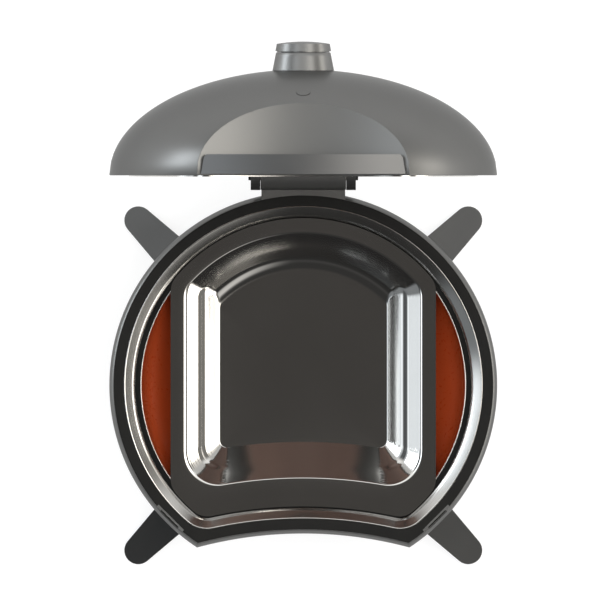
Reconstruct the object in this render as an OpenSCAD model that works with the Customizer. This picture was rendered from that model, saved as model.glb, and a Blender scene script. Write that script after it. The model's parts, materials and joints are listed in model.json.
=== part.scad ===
// Domed table-top gas oven: a round cast base with a concave front, a hinged dome lid
// with a flue, a lift-out roasting pan over an enamelled bowl, and four splayed legs.
// The drawing stands with its lid open. Millimetres, +Z up, front towards -Y.

/* [Body] */
// Diameter of the base and the lid at their widest
body_d = 540; // [530:1:550]
// Height of the lid's dome above its rim
dome_h = 147.5; // [145:0.5:152]
// Depth of the base below its rim
base_depth = 122; // [120:1:126]
// Height of the base's rim above the table
rim_z = 180; // [176:1:190]
// Thickness of the cast walls
wall = 4.5; // [4:0.5:5]
// Radius of the concave front face
front_r = 570; // [560:1:600]
// Distance from the body's axis to the middle of the front face
front_y = 206.4; // [204:0.2:208]
// Angle that the lid's front face leans back by
front_lean = 5; // [3:0.5:6]

/* [Lid and hinge] */
// Angle that the lid is drawn open at
lid_open = 90; // [0:1:90]
// Radius of the hinge barrel and ears
barrel_r = 17.7; // [17:0.1:18]
// Radius of the hinge pin
pin_r = 4; // [3.5:0.1:4.5]
// Half length of the base's hinge barrel
barrel_half = 58.3; // [55:0.1:60]
// Length of the lid's hinge ears
ear_w = 13.4; // [12:0.1:15]
// Gap between the closed lid and the base
lid_gap = 0.6; // [0.4:0.1:1]

/* [Flue] */
// Radius of the flue's bore
flue_r = 33; // [32:0.5:34]
// Radius of the collar where it meets the dome
collar_r = 43; // [42:0.5:44]
// Height of the collar's top above the lid's rim
collar_z = 171.2; // [170:0.2:174]
// Travel of the flue cap
cap_travel = 25; // [20:1:25]

/* [Roasting pan] */
// Half width of the pan's flange
pan_w = 184.6; // [180:0.2:186]
// Depth of the pan below its flange
pan_depth = 38; // [34:1:42]
// Thickness of the pan's sheet
pan_t = 1.5; // [1.2:0.1:2]

/* [Legs] */
// Distance from the body's axis to the middle of a leg's round end
leg_reach = 324.7; // [320:0.1:328]
// Radius of a leg's round end
leg_end_r = 19.5; // [18:0.5:21]
// Slope of a leg below the horizontal
leg_tilt = 27; // [25:1:28]
// Thickness of a leg
leg_t = 9; // [8:0.5:10]

/* [Controls] */
// Radius of the gas knob
knob_r = 15.5; // [14:0.5:16]
// Depth of the controls' axis below the rim
control_drop = 82; // [80:1:84]

/* [Hidden] */
$fn = 96;

body_r = body_d / 2;
front_c = front_y + front_r;            // how far the front face's own axis is from the body's
shoulder = 14;                          // height of the band that narrows towards the base's rim
rim_inset = 3.7;                        // how far the band narrows
chamfer = 1.65;                         // chamfer of the rim's outer edge
base_b = base_depth - shoulder + 7;     // vertical half axis of the base's ellipse
base_flat = base_depth;                 // where the ellipse is cut flat
lid_lift = 2.8;                         // height of the closed lid's rim above the hinge
hinge_y = 289.3;
hinge_z = rim_z + lid_gap - lid_lift;
run_gap = 0.05;                         // radial running clearance of pins and stems

pan_top = 11;                           // depth of the pan's flange below the rim

// Flue cap
cap_neck_z = collar_z + 0.2;
cap_skirt_z = collar_z + 1.7;
cap_edge_z = collar_z + 12;
cap_top_z = collar_z + 15.2;
stem_r = 4;

// The drawing's origin is the middle of its footprint, and the body's axis is in front of it
front_extent = leg_reach * sin(45) + leg_end_r;
rear_extent = hinge_y + cap_top_z + lid_lift;
axis_y = -(rear_extent - front_extent) / 2;

cast_grey = [0.42, 0.42, 0.41];
steel = [0.75, 0.75, 0.74];
dark = [0.1, 0.1, 0.1];
enamel = [0.55, 0.18, 0.08];
brass = [0.72, 0.58, 0.3];

// ---- outlines -------------------------------------------------------------

// Distance from the axis to the front face pushed in by d, along a ray at angle a from the front
function front_ray(a, d) =
    let (r = front_r + d, q = r * r - pow(front_c * sin(a), 2))
    cos(a) > 0 && q > 0 ? front_c * cos(a) - sqrt(q) : 9999;

// The same for flat sides at half width w, for a circle of radius r, and for all three
function side_ray(a, w) = abs(sin(a)) > 0.001 ? w / abs(sin(a)) : 9999;
function sharp_ray(a, w, r, d) = min(side_ray(a, w), r, front_ray(a, d));

// The outline with its corners rounded to radius c: discs of radius c rolled inside it
function round_ray(a, w, r, d, c) =
    max([for (t = [-30 : 1 : 30])
        let (q = sharp_ray(a + t, w - c, r - c, d + c), off = abs(q * sin(t)))
        if (off <= c) q * cos(t) + sqrt(c * c - off * off)]);

// Angles of a ring's points from the front, closer together at the front corners
ring_half = concat([for (a = [5 : 5 : 25]) a], [for (a = [27.7 : 1.5 : 42]) a], [for (a = [45 : 5 : 175]) a]);
ring_angles = concat([0], ring_half, [180], [for (i = [len(ring_half) - 1 : -1 : 0]) 360 - ring_half[i]]);
ring_n = len(ring_angles);

// One ring of points at height z. s is [half width, radius, push-in of the front, corner, z]
function ring(s) = [for (a = ring_angles)
    let (r = round_ray(a, s[0], s[1], s[2], s[3])) [r * sin(a), -r * cos(a), s[4]]];
function flat_ring(s) = [for (p = ring(s)) [p[0], p[1]]];
function round_ring(r, z) = [for (a = ring_angles) [r * sin(a), -r * cos(a), z]];

// A ring that follows the body's outline, d inside it; inner ones have concentric corners
function corner_at(d) = max(62.4 - d, 3);
function rim_ring(d, z, c) = ring([9999, body_r - d, d, c, z]);

// Skin over rings in order, closed onto the first one or capped at both ends
module skin(rings, capped) {
    count = len(rings);
    points = [for (r = rings) each r];
    last = capped ? count - 2 : count - 1;
    sides = [for (k = [0 : last], i = [0 : ring_n - 1])
        let (j = (i + 1) % ring_n, m = (k + 1) % count)
        each [[k * ring_n + i, m * ring_n + i, m * ring_n + j],
              [k * ring_n + i, m * ring_n + j, k * ring_n + j]]];
    caps = [[for (i = [0 : ring_n - 1]) i],
            [for (i = [ring_n - 1 : -1 : 0]) (count - 1) * ring_n + i]];
    polyhedron(points, capped ? concat(sides, caps) : sides);
}

// Flat ring between two outlines, from z0 to z1
module rim_band(d0, c0, d1, c1, z0, z1)
    translate([0, 0, z0]) linear_extrude(z1 - z0) difference() {
        polygon(flat_ring([9999, body_r - d0, d0, c0, 0]));
        polygon(flat_ring([9999, body_r - d1, d1, c1, 0]));
    }

// ---- shared solids --------------------------------------------------------

function arc_pts(a, b, from, to, n) =
    [for (i = [0 : n]) let (t = from + (to - from) * i / n) [a * cos(t), b * sin(t)]];

module front_cut(push, z0, z1, lean = 0)
    translate([0, -front_c, z0]) cylinder(r1 = front_r + push + z0 * tan(lean),
        r2 = front_r + push + z1 * tan(lean), h = z1 - z0, $fn = 180);

// Half ellipsoid standing on z = 0
module dome_solid(a, b)
    rotate_extrude() polygon(concat([[0, 0]], arc_pts(a, b, 0, 86, 17), [[0, b]]));

// Solid of the base's outside, z measured from the rim
module base_solid() {
    cut = asin((base_flat - shoulder) / base_b);
    curve = arc_pts(body_r, base_b, 0, -cut, 15);
    difference() {
        rotate_extrude() polygon(concat(
            [[0, -base_flat]],
            [for (i = [len(curve) - 1 : -1 : 0]) curve[i] + [0, -shoulder]],
            [[body_r - 0.5, -9.5], [body_r - 1.8, -5], [body_r - rim_inset, -chamfer],
             [body_r - rim_inset - chamfer, 0], [0, 0]]));
        translate([0, -front_c, 0]) rotate_extrude($fn = 180) polygon([
            [0, -base_depth - 1], [front_r, -base_depth - 1], [front_r, -shoulder],
            [front_r + rim_inset, -chamfer], [front_r + rim_inset + chamfer, 0],
            [front_r + rim_inset + chamfer, 1], [0, 1]]);
    }
}

module on_body() translate([0, axis_y, 0]) children();
module on_base() on_body() translate([0, 0, rim_z]) children();
// Lid parts are drawn closed, z measured from the lid's rim, then turned open about the hinge
module on_lid()
    on_body() translate([0, hinge_y, hinge_z]) rotate([-lid_open, 0, 0])
        translate([0, -hinge_y, lid_lift]) children();

module along_x(r, x0, x1) translate([x0, 0, 0]) rotate([0, 90, 0]) cylinder(r = r, h = x1 - x0);
module along_y(r, y0, y1) translate([0, y1, 0]) rotate([90, 0, 0]) cylinder(r = r, h = y1 - y0);

// Slotted-head screw standing on z = 0, shank down to -length
module screw(r, length) {
    translate([0, 0, -length]) cylinder(r = r, h = length, $fn = 24);
    difference() {
        cylinder(r = r * 1.8, h = r * 1.1, $fn = 24);
        translate([-r * 2, -0.5, r * 0.7]) cube([r * 4, 1, r]);
    }
}

// ---- base -----------------------------------------------------------------

gasket_d0 = 5.8;
gasket_d1 = 20.2;
seat_d = 22.4;                          // inner edge of the seat that holds the gasket and the trim ring
socket_angle = 45;
socket_half = 17;
socket_r0 = 262.3;
socket_r1 = 265.8;
pad_r = 259.8;

module at_sockets() for (s = [-1, 1]) rotate([0, 0, s * socket_angle - 90]) children();
module socket_pad(grow)
    translate([pad_r - grow, -25 - grow, -8]) cube([10 + grow, 50 + 2 * grow, 12]);

screw_r = 2.5;
leg_dir = [45, 135, 225, 315];
leg_top_r = 187;                        // where a leg's middle plane meets the base
leg_foot_z = rim_z - 180 + 14;          // height of that plane at the middle of the round end
leg_screw_gap = 14;
spot_face = 9;                          // how far inside the leg's top the screw heads are seated

// Screws run down the length of each leg from inside the base; base frame, before rotation
module leg_screw_axes()
    for (s = [-1, 1])
        translate([leg_top_r, s * leg_screw_gap,
                   leg_foot_z + (leg_reach - leg_top_r) * tan(leg_tilt) - rim_z])
            rotate([0, leg_tilt - 90, 0]) children();

bracket_x = [-38, 38];
bracket_face = 261.5;                    // where the heads of the bracket's screws seat
niche_half = 62;
niche_back = 176;
niche_top = -60;
pipe_ring_r = 180;
inlet_angle = 110;
inlet_r = 6.58;                         // outside of the thread
inlet_free = 18;                        // length of the thread
inlet_z = -121;                         // the thread's free end
inlet_neck_r = 7.5;

module inlet_place()
    translate([pipe_ring_r * cos(inlet_angle), pipe_ring_r * sin(inlet_angle), 0]) children();

module base_shell() color(cast_grey) on_base() difference() {
    base_solid();
    // hollow below the rim's flange
    difference() {
        translate([0, 0, -shoulder - 1]) mirror([0, 0, 1]) intersection() {
            dome_solid(body_r - wall, base_b - wall);
            translate([0, 0, -1]) cylinder(r = body_r, h = base_flat - wall - shoulder);
        }
        front_cut(wall, -base_depth, 0);
    }
    translate([0, 0, -shoulder - 1.1]) linear_extrude(shoulder - 1.8)
        polygon(flat_ring([9999, body_r - seat_d, seat_d, corner_at(seat_d), 0]));
    difference() {
        translate([0, 0, -3]) linear_extrude(4)
            polygon(flat_ring([9999, body_r - gasket_d0, gasket_d0, 3, 0]));
        at_sockets() socket_pad(0);
    }
    at_sockets() translate([socket_r0, -socket_half, -6])
        cube([socket_r1 - socket_r0, 2 * socket_half, 7]);
    translate([0, 0, -base_depth - 1]) cylinder(r = 78, h = wall + 2);
    translate([-niche_half, -niche_back - 60, -base_depth]) cube([2 * niche_half, 60, base_depth + niche_top]);
    for (a = leg_dir) rotate([0, 0, a]) leg_screw_axes() {
        translate([0, 0, -20]) cylinder(r = screw_r + run_gap, h = 40, $fn = 24);
        translate([0, 0, spot_face]) cylinder(r = screw_r * 2, h = 12, $fn = 24);
    }
    for (x = bracket_x) translate([x, 0, -16]) {
        along_y(screw_r + run_gap, 240, 275);
        along_y(screw_r * 2, 240, bracket_face);
    }
    inlet_place() translate([0, 0, -112]) cylinder(r = inlet_neck_r + 0.1, h = 30, $fn = 32);
    for (a = [0 : 90 : 270]) rotate([0, 0, a]) translate([85, 0, -base_depth - 1])
        cylinder(r = 2.05, h = 14, $fn = 24);
}

module rim_gasket() color(dark) on_base() difference() {
    rim_band(gasket_d0 + 0.05, 3, gasket_d1, corner_at(gasket_d1), -2.95, -0.3);
    at_sockets() socket_pad(0.3);
}

// Pressed steel ring: a rolled outer edge, a slope, and a lip that turns down
trim_section = [[36, -15], [34.7, -15], [34.7, -12.2], [30.6, -8.3], [22.7, -3.1], [22.2, -2.9],
    [20.4, -2.9], [20.4, -0.3], [22, -0.3], [31, -6.3], [36, -11.6]];
module trim_ring() color(steel) on_base()
    skin([for (p = trim_section) rim_ring(p[0], p[1], corner_at(p[0]))], false);

module pan_support_ring() color(dark) on_base()
    rim_band(36.3, corner_at(36.3), 43, corner_at(43), -16, -12.8);

// Enamelled bowl: an elliptic dish with the front pushed in
liner_d = 43.4;
liner_b = 92;
liner_t = 1.5;
liner_top = -13;
dish_angles = [84, 72, 60, 48, 36, 24, 12, 0];
function dish_ring(t, inset) = let (a = body_r - liner_d - inset, r = a * cos(t))
    ring([9999, r, liner_d + inset, min(17, r / 2), liner_top - (liner_b - inset) * sin(t)]);
module bowl_liner() color(enamel) on_base() difference() {
    skin(concat([for (t = dish_angles) dish_ring(t, 0)],
        [for (i = [len(dish_angles) - 1 : -1 : 0]) dish_ring(dish_angles[i], liner_t)]), true);
    translate([0, 0, -control_drop]) along_y(15, -175, -105);
    translate([igniter_x, 0, -control_drop]) along_y(9, -175, -105);
}

module bottom_cover() color(steel) on_base() difference() {
    translate([0, 0, -base_depth - 2]) cylinder(r = 92, h = 2);
    for (a = [0 : 30 : 330]) rotate([0, 0, a + 15]) translate([30, -2.5, -base_depth - 3])
        cube([38, 5, 4]);
    for (a = [0 : 90 : 270]) rotate([0, 0, a]) translate([85, 0, -base_depth - 3])
        cylinder(r = 2.05, h = 4, $fn = 24);
}
module bottom_cover_screws() color(dark) on_base()
    for (a = [0 : 90 : 270]) rotate([0, 0, a]) translate([85, 0, -base_depth - 2])
        mirror([0, 0, 1]) screw(2, 8);

// ---- legs -----------------------------------------------------------------

leg_taper = 4.94;                       // angle of each edge to the leg's middle line
leg_in_r = 160;
function leg_half(r) = leg_end_r / cos(leg_taper) + (leg_reach - r) * tan(leg_taper);
leg_outline = concat(
    [[leg_in_r, -leg_half(leg_in_r)]],
    [for (t = [-90 + leg_taper : (180 - 2 * leg_taper) / 14 : 90.1 - leg_taper])
        [leg_reach + leg_end_r * cos(t), leg_end_r * sin(t)]],
    [[leg_in_r, leg_half(leg_in_r)]]);

// The inclined slab that a leg is cut from; grow_down thickens it below
module leg_slab(grow_up, grow_down)
    translate([leg_reach, 0, leg_foot_z]) rotate([0, leg_tilt, 0])
        translate([-260, -80, -leg_t / 2 - grow_down])
            cube([330, 160, leg_t + grow_up + grow_down]);

module leg(a) color(cast_grey) on_body() rotate([0, 0, a]) difference() {
    intersection() {
        linear_extrude(rim_z) polygon(leg_outline);
        leg_slab(0, 0);
    }
    translate([0, 0, rim_z]) rotate([0, 0, -a]) base_solid();
    translate([0, 0, rim_z]) leg_screw_axes() translate([0, 0, -24])
        cylinder(r = screw_r + run_gap, h = 44, $fn = 24);
}
module foot(a) color(dark) on_body() rotate([0, 0, a]) difference() {
    translate([leg_reach - 2, 0, 0]) cylinder(r = 14, h = 30, $fn = 48);
    leg_slab(60, 0);
}
module leg_screws() color(dark) on_base()
    for (a = leg_dir) rotate([0, 0, a]) leg_screw_axes()
        translate([0, 0, spot_face + 0.05]) screw(screw_r, 32);

// ---- controls and gas train ----------------------------------------------

panel_y = niche_back + 2;
igniter_x = 38;
valve_y = niche_back - 7.5;             // where the gas enters the valve
valve_end = niche_back - 18;
// Recessed tray in the front of the base, trimmed flush with the base's skin
module control_panel() color(dark) on_base() intersection() {
    difference() {
        translate([-niche_half + 0.1, -niche_back - 40, -base_depth + 5])
            cube([2 * niche_half - 0.2, 40, base_depth - 5 + niche_top - 0.1]);
        translate([-niche_half + 2, -niche_back - 41, -base_depth])
            cube([2 * niche_half - 4, 39, base_depth + niche_top - 2]);
        translate([0, 0, -control_drop]) along_y(4.5, -190, -170);
        translate([igniter_x, 0, -control_drop]) along_y(6.3, -190, -170);
    }
    base_solid();
}
module knob_bezel() color(steel) on_base() translate([0, 0, -control_drop]) difference() {
    along_y(knob_r - 1, -panel_y - 1.5, -panel_y);
    along_y(5, -panel_y - 2, -panel_y + 1);
}
module gas_knob() color(dark) on_base() translate([0, 0, -control_drop]) difference() {
    union() {
        along_y(knob_r, -panel_y - 8, -panel_y - 1.9);
        along_y(knob_r - 2.5, -panel_y - 22, -panel_y - 7);
    }
    translate([-1, -panel_y - 23, knob_r - 6]) cube([2, 12, 6]);
    along_y(3 + run_gap, -panel_y - 14, -panel_y);
}
module valve_stem() color(brass) on_base() translate([0, 0, -control_drop])
    along_y(3, -panel_y - 13.5, -valve_y - 1);
module gas_valve() color(brass) on_base() translate([0, 0, -control_drop]) difference() {
    union() {
        along_y(10, -niche_back + 0.2, -niche_back + 4);
        translate([-9, -niche_back + 3, -9]) cube([18, niche_back - 3 - valve_end, 18]);
        translate([0, -valve_y, 0]) along_x(4.5, -20, -8);
    }
    along_y(3 + run_gap, -niche_back - 1, -valve_y - 0.5);
    translate([0, -valve_y, 0]) along_x(pipe_r + run_gap, -21, -12);
    along_y(2.5 + run_gap, -valve_end - 4, -valve_end + 1);
}
module gas_jet() color(brass) on_base() translate([0, 0, -control_drop]) {
    along_y(2.5, -valve_end - 3.7, -valve_end + 0.5);
    along_y(3.6, -valve_end + 0.1, -valve_end + 6);
}
pipe_r = 3.2;
pipe_end = 180 + asin(valve_y / pipe_ring_r);
// Copper pipe: round between the bowl and the shell, then straight behind the panel to the valve
module gas_pipe() color(brass) on_base() translate([0, 0, -control_drop]) {
    rotate([0, 0, inlet_angle]) rotate_extrude(angle = pipe_end - inlet_angle)
        translate([pipe_ring_r, 0]) circle(r = pipe_r, $fn = 32);
    translate([0, -valve_y, 0]) {
        along_x(pipe_r, pipe_ring_r * cos(pipe_end), -12.2);
        translate([pipe_ring_r * cos(pipe_end), 0, 0]) sphere(r = pipe_r + 1, $fn = 48);
    }
}
module hose_inlet() color(brass) on_base() inlet_place() {
    translate([0, 0, inlet_z]) cylinder(r = inlet_r, h = inlet_free + 1, $fn = 48);
    translate([0, 0, inlet_z + inlet_free]) cylinder(r = inlet_neck_r, h = 14.5, $fn = 48);
    difference() {
        translate([0, 0, -88.5]) cylinder(r = 9, h = 14, $fn = 6);
        rotate([0, 0, inlet_angle]) translate([0, 0, -control_drop]) along_y(pipe_r + 0.2, -5, 12);
    }
}
burner_r = 80;
burner_tube = 7;
module burner_ring() color(steel) on_base() translate([0, 0, -control_drop]) difference() {
    rotate_extrude() translate([burner_r, 0]) circle(r = burner_tube, $fn = 40);
    rotate_extrude() translate([burner_r, 0]) circle(r = burner_tube - 1, $fn = 40);
    along_y(7.5, -burner_r - 12, -burner_r + 1);
    for (a = [0 : 30 : 330]) if (a != 270) rotate([0, 0, a])
        translate([burner_r, 0, 0]) cylinder(r = 1, h = 10, $fn = 16);
}
module burner_venturi() color(steel) on_base() translate([0, 0, -control_drop]) difference() {
    union() {
        along_y(7.3, -115, -burner_r - 3.5);
        along_y(9, -153.5, -114);
    }
    along_y(6, -116, -burner_r - 3);
    along_y(7.8, -154, -115.5);
}
module burner_clips() color(steel) on_base() difference() {
    for (a = [30, 150]) rotate([0, 0, a])
        translate([burner_r - 5, -6, -95.5]) cube([10, 12, 11]);
    translate([0, 0, -control_drop]) rotate_extrude()
        translate([burner_r, 0]) circle(r = burner_tube + 0.05, $fn = 40);
}
module igniter_body() color(dark) on_base() translate([igniter_x, 0, -control_drop]) difference() {
    along_y(7.5, -niche_back + 0.2, -niche_back + 20);
    along_y(6.2, -niche_back - 1, -niche_back + 10);
}
module igniter_electrode() color([0.92, 0.9, 0.86]) on_base() translate([igniter_x, 0, -control_drop]) {
    along_y(3.5, -niche_back + 20, -105);
    along_y(1, -105.5, -84);
}
module igniter_button() color(dark) on_base() translate([igniter_x, 0, -control_drop])
    along_y(6, -panel_y - 7, -niche_back + 4);

// ---- hinge ----------------------------------------------------------------

hinge_rel = hinge_z - rim_z;
stop_half = 18;
stop_t = 3.8;
stop_line = [[18, 16.3], [30, 19.5]];   // top of the stop behind the barrel, from the hinge axis
module hinge_bracket() color(cast_grey) on_base() difference() {
    union() {
        translate([0, hinge_y, hinge_rel]) along_x(barrel_r, -barrel_half, barrel_half);
        translate([-barrel_half, 0, 0]) rotate([90, 0, 90]) linear_extrude(2 * barrel_half)
            polygon([[255, -30], [255, 0], [289, 0], [300, -12], [283, -30]]);
        translate([-stop_half, hinge_y, hinge_rel]) rotate([90, 0, 90]) linear_extrude(2 * stop_half)
            polygon([[6, -14], [31, 8], stop_line[1] + [1, 0], stop_line[0] - [1, 0], [8, 8]]);
    }
    base_solid();
    translate([0, hinge_y, hinge_rel]) along_x(pin_r + run_gap, -barrel_half - 1, barrel_half + 1);
    for (x = bracket_x) translate([x, 0, -16]) along_y(screw_r + run_gap, 240, 284);
}
// Rubber pad that the open lid leans back on
module lid_stop_pad() color(dark) on_base()
    translate([-stop_half + 2, hinge_y, hinge_rel]) rotate([90, 0, 90]) linear_extrude(2 * stop_half - 4)
        polygon([stop_line[0] + [0, 0.3], stop_line[1] + [0, 0.3],
                 stop_line[1] + [0, stop_t], stop_line[0] + [0, stop_t]]);
module bracket_screws() color(dark) on_base()
    for (x = bracket_x) translate([x, bracket_face, -16]) rotate([90, 0, 0])
        screw(screw_r, 282 - bracket_face);
pin_half = 76.4;
module hinge_pin() color(dark) on_base()
    translate([0, hinge_y, hinge_rel]) along_x(pin_r, -pin_half, pin_half);
module hinge_washers() color(steel) on_base()
    for (s = [0, 1]) mirror([s, 0, 0]) translate([0, hinge_y, hinge_rel]) difference() {
        along_x(barrel_r - 0.3, barrel_half, barrel_half + 1.2);
        along_x(pin_r + run_gap, barrel_half - 1, barrel_half + 2);
    }

// ---- lid, drawn closed ----------------------------------------------------

lid_rim = 5;
lid_open_d = 27;
post_x = 100;
post_z = 15.8;
plug_z = 115.2;                         // height of the gauge hole above the lid's rim
plug_y = body_r * sqrt(1 - pow(plug_z / dome_h, 2));
plug_lean = atan2(plug_y / pow(body_r, 2), plug_z / pow(dome_h, 2));
ear_x = barrel_half + 1.5;
ear_screw_x = ear_x + ear_w / 2;
ear_screw_z = 10;
ear_t = 15;

module at_plug() translate([0, -plug_y, plug_z]) rotate([plug_lean, 0, 0]) children();

module lid_shell() color(cast_grey) on_lid() difference() {
    dome_solid(body_r, dome_h);
    front_cut(0, -1, dome_h, front_lean);
    difference() {
        dome_solid(body_r - wall, dome_h - wall);
        front_cut(wall, -2, dome_h, front_lean);
        translate([0, 0, -1]) cylinder(r = body_r + 1, h = lid_rim + 1);
    }
    translate([0, 0, -1]) linear_extrude(lid_rim + 2)
        polygon(flat_ring([9999, body_r - lid_open_d, lid_open_d, corner_at(lid_open_d), 0]));
    translate([0, 0, dome_h - 20]) cylinder(r = flue_r, h = 40);
    at_plug() translate([0, 0, -15]) cylinder(r = 9.9, h = 30, $fn = 48);
    for (x = [-post_x, post_x]) translate([x, 0, post_z]) along_y(screw_r + run_gap, -235, -200);
    for (x = [-ear_screw_x, ear_screw_x]) translate([x, 0, ear_screw_z]) along_y(screw_r + run_gap, 245, 275);
}

lid_liner_d = 29.5;
lid_liner_b = 138;
lid_dish = [6, 18, 30, 42, 54, 66, 76];
function lid_ring(t, inset) =
    let (a = body_r - lid_liner_d - inset, r = a * cos(t), z = (lid_liner_b - inset) * sin(t))
    ring([9999, r, lid_liner_d + inset + z * tan(front_lean), min(corner_at(lid_liner_d), r / 2), z]);
module lid_liner() color(enamel) on_lid() skin(concat(
    [rim_ring(lid_liner_d, 0.5, corner_at(lid_liner_d))],
    [for (t = lid_dish) lid_ring(t, 0)],
    [round_ring(flue_r + 2, lid_liner_b - 0.6), round_ring(flue_r + 2, lid_liner_b - 2.1)],
    [for (i = [len(lid_dish) - 1 : -1 : 0]) lid_ring(lid_dish[i], liner_t)],
    [rim_ring(lid_liner_d + liner_t, 0.5, corner_at(lid_liner_d + liner_t))]), false);
module lid_lip_ring() color(steel) on_lid()
    rim_band(27.05, corner_at(27.05), 29.4, corner_at(29.4), -1.7, lid_rim);

// Handle: a bar bowed forward across the front, with its ends following the dome
handle_z0 = 2.1;
handle_z1 = 29.5;
handle_bow_r = 522.7;
handle_bow_y = handle_bow_r - 248;
handle_t = 3.5;
module handle_arc(r) translate([0, handle_bow_y, -5]) cylinder(r = r, h = 60, $fn = 180);
module lid_handle() color(cast_grey) on_lid() intersection() {
    difference() {
        handle_arc(handle_bow_r);
        handle_arc(handle_bow_r - handle_t);
        for (x = [-post_x, post_x]) translate([x, 0, post_z]) along_y(screw_r + run_gap, -236.8, -220);
    }
    translate([0, -200, 0]) rotate([90, 0, 0]) linear_extrude(60) polygon([
        [-142.4, handle_z0], [142.4, handle_z0], [138.6, handle_z1 - 4], [134.6, handle_z1],
        [-134.6, handle_z1], [-138.6, handle_z1 - 4]]);
}
module handle_posts() color(cast_grey) on_lid() for (x = [-post_x, post_x]) difference() {
    intersection() {
        translate([x, 0, post_z]) along_y(6, -245, -205);
        front_cut(0, 0, 40, front_lean);
        handle_arc(handle_bow_r - handle_t);
    }
    translate([x, 0, post_z]) along_y(screw_r + run_gap, -250, -200);
}
module handle_screws() color(dark) on_lid()
    for (x = [-post_x, post_x]) translate([x, -207.9, post_z]) rotate([-90, 0, 0]) screw(screw_r, 28);

module hinge_ear(side) color(cast_grey) on_lid() difference() {
    union() {
        translate([0, hinge_y, -lid_lift])
            along_x(barrel_r, min(side * ear_x, side * (ear_x + ear_w)), max(side * ear_x, side * (ear_x + ear_w)));
        translate([side > 0 ? ear_x : -ear_x - ear_w, 250, 0.3]) cube([ear_w, hinge_y - 250, ear_t]);
    }
    dome_solid(body_r, dome_h);
    translate([0, hinge_y, -lid_lift]) along_x(pin_r + run_gap, -90, 90);
    translate([side * ear_screw_x, 0, ear_screw_z]) along_y(screw_r + run_gap, 240, 280);
}
module ear_screws() color(dark) on_lid()
    for (x = [-ear_screw_x, ear_screw_x]) translate([x, 254, ear_screw_z]) rotate([90, 0, 0]) screw(screw_r, 24);

module gauge_hole_plug() color(cast_grey) on_lid() at_plug() {
    translate([0, 0, -2]) cylinder(r = 9.4, h = 2.5, $fn = 48);
    translate([0, 0, -11]) cylinder(r = 5, h = 9.5, $fn = 32);
}
module plug_nut() color(dark) on_lid() at_plug() difference() {
    translate([0, 0, -10]) cylinder(r = 12, h = 3.6, $fn = 6);
    translate([0, 0, -11]) cylinder(r = 5 + run_gap, h = 8, $fn = 32);
}

// ---- flue -----------------------------------------------------------------

function dome_z(r) = dome_h * sqrt(1 - pow(r / body_r, 2));
module flue_collar() color(cast_grey) on_lid() rotate_extrude() polygon([
    [flue_r, dome_z(flue_r) + 0.1], [collar_r, dome_z(collar_r) + 0.1],
    [38.2, collar_z - 1], [37.4, collar_z], [flue_r, collar_z]]);
spider_z = 150;
module flue_spider() color(steel) on_lid() translate([0, 0, spider_z]) difference() {
    union() {
        cylinder(r = 8, h = 8);
        for (a = [90, 210, 330]) rotate([0, 0, a]) translate([0, -2, 0]) cube([31.5, 4, 6]);
        difference() {
            cylinder(r = flue_r - 0.1, h = 6);
            translate([0, 0, -1]) cylinder(r = flue_r - 2.5, h = 8);
        }
    }
    translate([0, 0, -1]) cylinder(r = stem_r + run_gap, h = 12, $fn = 48);
}
module flue_cap() color(cast_grey) on_lid() difference() {
    rotate_extrude() polygon(concat([
        [0, collar_z - 5], [flue_r - 2, collar_z - 5], [flue_r - 2, cap_neck_z], [36.5, cap_neck_z],
        [36.5, cap_skirt_z], [38.85, cap_skirt_z], [37, cap_edge_z]],
        [for (i = [1 : 6]) [37 * (1 - i / 6), cap_edge_z + (cap_top_z - cap_edge_z) * (1 - pow(1 - i / 6, 2))]]));
    translate([0, 0, collar_z - 6]) cylinder(r = stem_r, h = 9, $fn = 48);
}
module flue_cap_stem() color(steel) on_lid() {
    translate([0, 0, 117]) cylinder(r = stem_r, h = collar_z + 3 - 117, $fn = 48);
    translate([0, 0, 119]) cylinder(r = 7, h = 2, $fn = 48);
}

// ---- roasting pan ---------------------------------------------------------

// Steps of the pan: [half width, rear radius, push-in of the front, corner, depth below the rim]
pan_steps = [
    [117, 172, 126, 8, pan_top + pan_depth],
    [137, 190, 100, 20, pan_top + 0.53 * pan_depth],
    [147, 196, 93.6, 24, pan_top + 0.37 * pan_depth],
    [165, 212.5, 78, 32, pan_top],
    [pan_w, 232.7, 37.9, 30, pan_top]];
function pan_ring(s, out, down) = ring([s[0] + out, s[1] + out, s[2] - out, s[3], -s[4] - down]);
module roasting_pan() color(steel) on_base() skin(concat(
    [for (s = pan_steps) pan_ring(s, s[0] == pan_w ? 0 : 1.2, pan_t)],
    [for (i = [len(pan_steps) - 1 : -1 : 0]) pan_ring(pan_steps[i], 0, 0)]), true);

base_shell();
rim_gasket();
trim_ring();
pan_support_ring();
bowl_liner();
bottom_cover();
bottom_cover_screws();
leg(leg_dir[2]);  // leg_front_left
leg(leg_dir[3]);  // leg_front_right
leg(leg_dir[1]);  // leg_rear_left
leg(leg_dir[0]);  // leg_rear_right
foot(leg_dir[2]);  // foot_front_left
foot(leg_dir[3]);  // foot_front_right
foot(leg_dir[1]);  // foot_rear_left
foot(leg_dir[0]);  // foot_rear_right
leg_screws();
control_panel();
knob_bezel();
gas_valve();
gas_jet();
gas_pipe();
hose_inlet();
burner_ring();
burner_venturi();
burner_clips();
igniter_body();
igniter_electrode();
hinge_bracket();
bracket_screws();
hinge_pin();
hinge_washers();
lid_stop_pad();
lid_shell();
lid_liner();
lid_lip_ring();
lid_handle();
handle_posts();
handle_screws();
hinge_ear(-1);  // hinge_ear_left
hinge_ear(1);  // hinge_ear_right
ear_screws();
gauge_hole_plug();
plug_nut();
flue_collar();
flue_spider();
flue_cap();
flue_cap_stem();
roasting_pan();
gas_knob();
valve_stem();
igniter_button();
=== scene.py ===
"""Domed table-top gas oven: materials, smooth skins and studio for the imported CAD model. Metres, +Z up."""
import json
import math

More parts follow.
